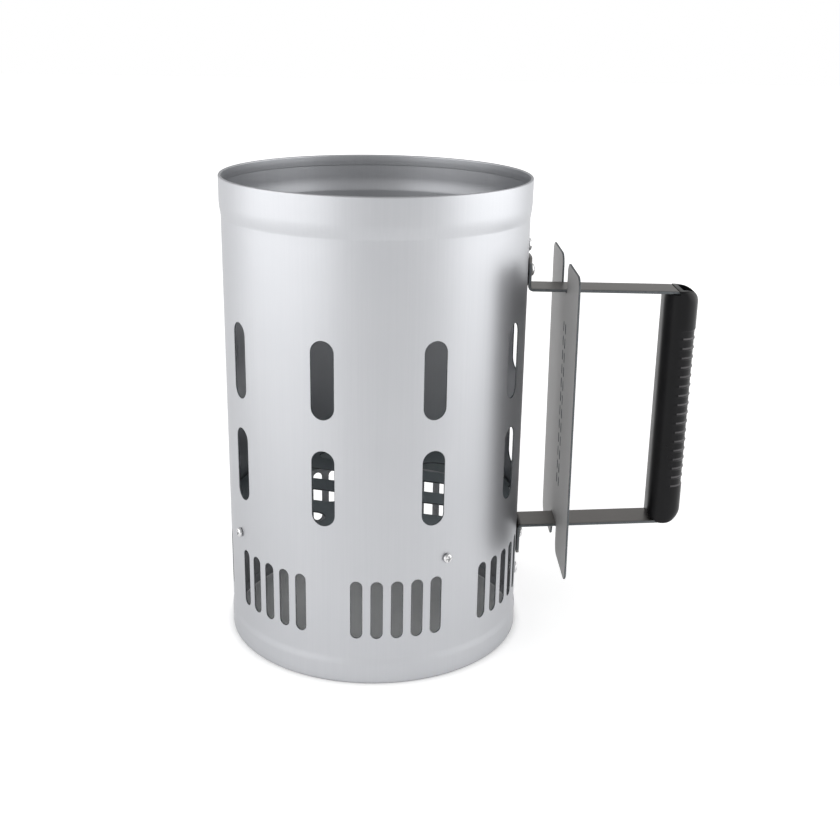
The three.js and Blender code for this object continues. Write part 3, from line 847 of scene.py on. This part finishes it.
def grip():
    verts, faces = lofted([grip_section(z) for z in grip_heights()])

    def on_highlight_flank(face):
        """True on the upper flank of a rib, on the grip's ribbed outer side, where a highlight is
        painted.
        """
        x = sum(verts[i].x for i in face) / len(face)
        z = sum(verts[i].z for i in face) / len(face)
        place = (z - RIB_FIRST_Z) / RIB_PITCH
        above = (place - round(place)) * RIB_PITCH
        low, high = RIB_PAINTED_HIGHLIGHT_FLANK
        return x > GRIP_OUTER - 10 and 0 < place < RIB_COUNT and low < above < high

    plain = [f for f in faces if not on_highlight_flank(f)]
    highlight_flanks = [f for f in faces if on_highlight_flank(f)]
    # The ribs' upper flanks get the lighter black, a painted highlight.
    piece = new_piece("grip_moulding", "grip", "grip_plastic", BLACK_PLASTIC, verts, plain + highlight_flanks,
                      edge_start=len(plain), second=RIB_PAINTED_HIGHLIGHT_PLASTIC)
    under_arm = arm_height(UPPER_ARM, GRIP_CHEEK_START) - STRAP_THICKNESS / 2 - JOINT_GAP
    cut_away(piece, [
        mesh_object("arm_room", *box_shape(150, GRIP_CHEEK_START, -20, 20, under_arm, 260)),
        mesh_object("tunnel", *strap_tunnel()),
        mesh_object("pocket", *grip_pocket()),
    ])


# ---- fasteners -------------------------------------------------------------------------------

def moved(matrix, verts):
    return [matrix @ v for v in verts]


def rivet(name, angle, radius, z, grip_length):
    """Domed head outside the sheets, and a flat upset tail inside them."""
    head, tail, shank = 4.1, 3.4, 2.1
    dome, brim, tail_height, tail_round = 2, 0.2, 1.6, 0.5
    end = -grip_length - tail_height
    profile = [(0, end), (tail * 0.55, end)]
    profile += arc(tail - tail_round, end + tail_round, tail_round, -60, 0, 4)
    profile += [(tail, -grip_length - 0.15), (tail - 0.15, -grip_length)]
    profile += [(shank, -grip_length), (shank, 0), (head - brim, 0), (head, brim)]
    profile += [(head * math.cos(t), brim + dome * math.sin(t))
                for t in [math.pi / 2 * i / 12 for i in range(1, 12)]] + [(0, brim + dome)]
    verts, faces = turned_surface(profile, 40)
    verts = moved(radial_place(angle, radius, z), verts)
    new_piece(name + "_body", name, "zinc_fasteners", ZINC, verts, faces, sharp=50)


def grate_screw(number, angle, centre_z):
    """Pan head with a cross recess; the thread is a row of ridges."""
    head, shank, length = 3.0, 1.9, 7.4
    rim, dome, thread_depth, turns = 0.8, 1.4, 0.22, 7
    profile = [(0, -length), (shank - 0.4, -length)]
    for i in range(turns * 4):
        z = -length + 0.4 + (length - 1.2) * i / (turns * 4 - 1)
        profile.append((shank - (thread_depth if i % 4 in (1, 2) else 0.0), z))
    profile += [(shank, -0.3), (shank, 0), (head - 0.15, 0), (head, 0.15), (head, rim)]
    profile += [(head * math.cos(t) ** 0.5, rim + dome * math.sin(t))
                for t in [math.pi / 2 * i / 10 for i in range(1, 10)]] + [(0, rim + dome)]
    verts, faces = turned_surface(profile, 40)
    place = radial_place(angle, TUBE_RADIUS + JOINT_GAP, centre_z)
    name = f"grate_screw_{number}"
    verts = moved(place, verts)
    piece = new_piece(name + "_body", name, "zinc_fasteners", ZINC, verts, faces, sharp=50)
    cutters = []
    for turn in (0, 1):
        rings = []
        for depth, long, wide in ((0.9, 1.0, 0.35), (2.0, 1.75, 0.5), (2.6, 2.0, 0.55)):
            corners = [(long, wide), (-long, wide), (-long, -wide), (long, -wide)]
            if turn:
                corners = [(-y, x) for x, y in corners]
            rings.append(moved(place, [Vector((x, y, depth)) for x, y in corners]))
        cutters.append(mesh_object(f"recess_{number}_{turn}", *lofted(rings)))
    cut_away(piece, cutters)


def grate_nut(number, angle, centre_z):
    """Hexagon nut with chamfered corners and bore."""
    bore, across, height = 2.2, 7.0, 3.0
    corner_chamfer, bore_chamfer, drop = 0.45, 0.35, 0.35
    corner = across / math.sqrt(3)
    steps = 48
    angles = [360 / steps * i for i in range(steps)]
    rings = []
    for z, chamfer in ((0, corner_chamfer), (drop, 0), (height - drop, 0), (height, corner_chamfer)):
        ring = []
        for t in angles:
            flat = (across / 2) / math.cos(math.radians((t % 60) - 30))
            ring.append(Vector((*polar(min(flat, corner - chamfer), t), z)))
        rings.append(ring)
    mouth = bore + bore_chamfer
    for z, r in ((height, mouth), (height - drop, bore), (drop, bore), (0, mouth)):
        rings.append([Vector((*polar(r, t), z)) for t in angles])
    rings.append(rings[0])
    verts, faces = lofted(rings, capped=False)
    last = len(verts) - steps
    faces = [tuple(i - last if i >= last else i for i in face) for face in faces]
    verts = verts[:last]
    radius = GRATE_RADIUS - GRATE_SHEET - height - 2 * JOINT_GAP
    name = f"grate_nut_{number}"
    place = radial_place(angle, radius, centre_z)
    new_piece(name + "_body", name, "zinc_fasteners", ZINC, moved(place, verts), faces, sharp=30)


def fasteners():
    for number, (angle, z) in enumerate(zip(SCREW_ANGLES, SCREW_HEIGHTS), 1):
        grate_screw(number, angle, z)
        grate_nut(number, angle, z)
    for name, z in RIVET_HEIGHTS.items():
        on_strap = not name.startswith("seam")
        outside = FLANGE_X + STRAP_THICKNESS / 2 if on_strap else TUBE_RADIUS
        radius = outside + JOINT_GAP
        length = STRAP_THICKNESS + 2 * SHEET + 3 * JOINT_GAP if on_strap else 2 * (SHEET + JOINT_GAP)
        rivet(name, 0, radius, z, length)


# ---- materials -------------------------------------------------------------------------------

class Nodes:
    """Adds shader nodes to one material and links them by socket names."""

    def __init__(self, name):
        self.material = bpy.data.materials.new(name)
        self.material.use_nodes = True
        self.tree = self.material.node_tree
        self.shader = self.tree.nodes["Principled BSDF"]
        self.coordinates = self.tree.nodes.new("ShaderNodeTexCoord").outputs["Object"]

    def add(self, kind, inputs=(), **settings):
        node = self.tree.nodes.new(kind)
        for key, value in settings.items():
            setattr(node, key, value)
        for socket, value in dict(inputs).items():
            if isinstance(value, bpy.types.NodeSocket):
                self.tree.links.new(value, node.inputs[socket])
            else:
                node.inputs[socket].default_value = value
        return node

    def stretched(self, scale):
        """Object coordinates multiplied along each axis."""
        made = self.add("ShaderNodeMapping", {"Vector": self.coordinates, "Scale": scale})
        return made.outputs["Vector"]

    def noise(self, vector, scale, detail=3.0, roughness=0.5):
        made = self.add("ShaderNodeTexNoise", {
            "Vector": vector, "Scale": scale, "Detail": detail, "Roughness": roughness})
        return made.outputs["Fac"]

    def ramp(self, value, start, end, low, high):
        """Runs from low to high as the value goes from start to end."""
        made = self.add("ShaderNodeMapRange", {
            "Value": value, "From Min": start, "From Max": end, "To Min": low, "To Max": high})
        return made.outputs["Result"]

    def ranged(self, value, low, high):
        """The middle of a 0-to-1 noise stretched to run from low to high."""
        return self.ramp(value, 0.3, 0.7, low, high)

    def math(self, operation, *values):
        made = self.add("ShaderNodeMath", enumerate(values), operation=operation)
        return made.outputs["Value"]

    def mixed(self, factor, first, second):
        made = self.add("ShaderNodeMix", {"Factor": factor}, data_type="RGBA")
        made.inputs["A"].default_value = (*first, 1)
        made.inputs["B"].default_value = (*second, 1)
        return made.outputs["Result"]

    def link(self, output, socket):
        self.tree.links.new(output, self.shader.inputs[socket])

    def bump(self, height, strength, distance, below=None):
        inputs = {"Height": height, "Strength": strength, "Distance": distance}
        if below is not None:
            inputs["Normal"] = below
        return self.add("ShaderNodeBump", inputs).outputs["Normal"]


def satin_metal(name, dark, light, rough, grain_scale, grain_strength=0.12, metallic=1.0):
    """Metal with cloudy colour, streaky roughness and a fine grain; grain_scale gives its direction."""
    nodes = Nodes(name)
    cloud = nodes.noise(nodes.coordinates, 22.0)
    streak = nodes.noise(nodes.stretched(grain_scale), 1.0, 4.0, 0.6)
    speck = nodes.noise(nodes.coordinates, 1900.0, 2.0)
    tone = nodes.math("MULTIPLY_ADD", cloud, streak, nodes.math("MULTIPLY", streak, 0.4))
    nodes.link(nodes.mixed(nodes.ranged(tone, 0.0, 1.0), dark, light), "Base Color")
    nodes.link(nodes.ranged(streak, *rough), "Roughness")
    fine = nodes.bump(speck, 0.05, 0.00002)
    nodes.link(nodes.bump(streak, grain_strength, 0.00003, fine), "Normal")
    nodes.shader.inputs["Metallic"].default_value = metallic
    nodes.shader.inputs["Specular Tint"].default_value = (0.8, 0.8, 0.8, 1)
    return nodes.material


def black_plastic(name, dark, light):
    nodes = Nodes(name)
    grain = nodes.noise(nodes.coordinates, 2600.0, 2.0)
    cloud = nodes.noise(nodes.coordinates, 60.0)
    nodes.link(nodes.mixed(nodes.ranged(cloud, 0.0, 1.0), dark, light), "Base Color")
    nodes.link(nodes.ranged(cloud, 0.27, 0.36), "Roughness")
    nodes.link(nodes.bump(grain, 0.18, 0.00006), "Normal")
    nodes.shader.inputs["Specular IOR Level"].default_value = 0.18
    return nodes.material


GALVANISED = satin_metal("galvanised_sheet", (0.475, 0.483, 0.503), (0.50, 0.507, 0.526), (0.40, 0.45),
                         (900, 900, 9), 0.06)
GRATE_STEEL = satin_metal("grate_steel", (0.22, 0.25, 0.262), (0.28, 0.31, 0.325), (0.38, 0.5),
                          (60, 900, 900))
STRAP_STEEL = satin_metal("strap_steel", (0.195, 0.187, 0.18), (0.235, 0.227, 0.218), (0.33, 0.45),
                          (12, 900, 900))
SHIELD_STEEL = satin_metal("shield_steel", (0.40, 0.396, 0.393), (0.45, 0.445, 0.441), (0.55, 0.65),
                           (900, 900, 9), 0.12, 0.45)
# Darker finish on the sheets' cut edges and on the strap's narrow sides.
DARK_CUT_EDGE = satin_metal("dark_cut_edge", (0.10, 0.11, 0.115), (0.17, 0.18, 0.19), (0.5, 0.65),
                       (700, 700, 700))
ZINC = satin_metal("bright_zinc", (0.62, 0.62, 0.63), (0.74, 0.74, 0.74), (0.2, 0.3),
                   (300, 300, 300))
BLACK_PLASTIC = black_plastic("moulded_black", (0.0025, 0.0025, 0.003), (0.0045, 0.0045, 0.0055))
# Lighter black for the ribs' upper flanks: a painted highlight of the light streaks along the ribs.
RIB_PAINTED_HIGHLIGHT_PLASTIC = black_plastic("painted_highlight_black", (0.05, 0.048, 0.05), (0.085, 0.082, 0.085))


# ---- studio ----------------------------------------------------------------------------------

def floor():
    """Pale floor that glows a little, but not under the tube and less in front of it."""
    reach = 6.0
    corners = [(-reach, -reach, 0), (reach, -reach, 0), (reach, reach, 0), (-reach, reach, 0)]
    mesh = bpy.data.meshes.new("floor")
    mesh.from_pydata(corners, [], [(0, 1, 2, 3)])
    made = bpy.data.objects.new("floor", mesh)
    made.location.z = -0.0002
    bpy.context.scene.collection.objects.link(made)
    nodes = Nodes("pale_floor")
    nodes.shader.inputs["Base Color"].default_value = (0.93, 0.93, 0.93, 1)
    nodes.shader.inputs["Roughness"].default_value = 0.9
    nodes.shader.inputs["Emission Color"].default_value = (1, 1, 1, 1)
    from_axis = nodes.add("ShaderNodeVectorMath", {0: nodes.coordinates, 1: (AXIS_X * MM, 0, 0)},
                          operation="DISTANCE").outputs["Value"]
    back = nodes.add("ShaderNodeSeparateXYZ", {0: nodes.coordinates}).outputs["Y"]
    near_glow = nodes.ramp(from_axis, 0.094, 0.101, 0.0, 0.36)
    far_glow = nodes.ramp(from_axis, 0.4, 3.0, 0.0, 0.4)
    share = nodes.ramp(back, -0.7, -0.27, 0.6, 1.0)
    glow = nodes.math("MULTIPLY", nodes.math("ADD", near_glow, far_glow), share)
    nodes.link(glow, "Emission Strength")
    mesh.materials.append(nodes.material)


def softbox(name, azimuth, elevation, distance, width, height, power):
    """Area light facing the tube's middle; azimuth 0 is the camera's side, positive to +X."""
    data = bpy.data.lights.new(name, "AREA")
    data.shape = "RECTANGLE"
    data.size = width
    data.size_y = height
    data.energy = power
    made = bpy.data.objects.new(name, data)
    a, e = math.radians(azimuth), math.radians(elevation)
    way = Vector((math.sin(a) * math.cos(e), -math.cos(a) * math.cos(e), math.sin(e)))
    target = Vector((AXIS_X * MM, 0, HEIGHT * MM / 2))
    made.location = target + way * distance
    made.rotation_mode = "QUATERNION"
    made.rotation_quaternion = (-way).to_track_quat("-Z", "Y")
    bpy.context.scene.collection.objects.link(made)


def studio():
    world = bpy.data.worlds.new("studio")
    world.use_nodes = True
    tree = world.node_tree
    direction = tree.nodes.new("ShaderNodeTexCoord").outputs["Generated"]
    height = tree.nodes.new("ShaderNodeSeparateXYZ")
    tree.links.new(direction, height.inputs[0])
    ramp = tree.nodes.new("ShaderNodeMapRange")
    ramp.interpolation_type = "SMOOTHSTEP"
    tree.links.new(height.outputs["Z"], ramp.inputs["Value"])
    for socket, value in (("From Min", 0.03), ("From Max", 0.3), ("To Min", 1.0), ("To Max", 0.62)):
        ramp.inputs[socket].default_value = value
    tree.links.new(ramp.outputs["Result"], tree.nodes["Background"].inputs["Color"])
    bpy.context.scene.world = world
    softbox("left_softbox", -67, 18, 1.6, 2.5, 1.5, 16)
    softbox("right_softbox", 86, 18, 1.6, 2.1, 1.5, 14.5)
    floor()


def camera():
    data = bpy.data.cameras.new("camera")
    data.sensor_width = 36
    data.lens = CAMERA["lens"]
    made = bpy.data.objects.new("camera", data)
    turn = Matrix.Rotation(-math.radians(CAMERA["yaw"]), 4, "Z")
    turn @= Matrix.Rotation(math.radians(90 - CAMERA["pitch"]), 4, "X")
    turn @= Matrix.Rotation(math.radians(CAMERA["roll"]), 4, "Z")
    place = Vector((CAMERA["x"] + AXIS_X, CAMERA["y"], CAMERA["z"])) * MM
    made.matrix_world = Matrix.Translation(place) @ turn
    bpy.context.scene.collection.objects.link(made)
    bpy.context.scene.camera = made


bpy.context.scene.view_settings.view_transform = "Standard"

camera()
fire_tube()
grate()
handle_strap()
heat_shield()
grip()
fasteners()
studio()
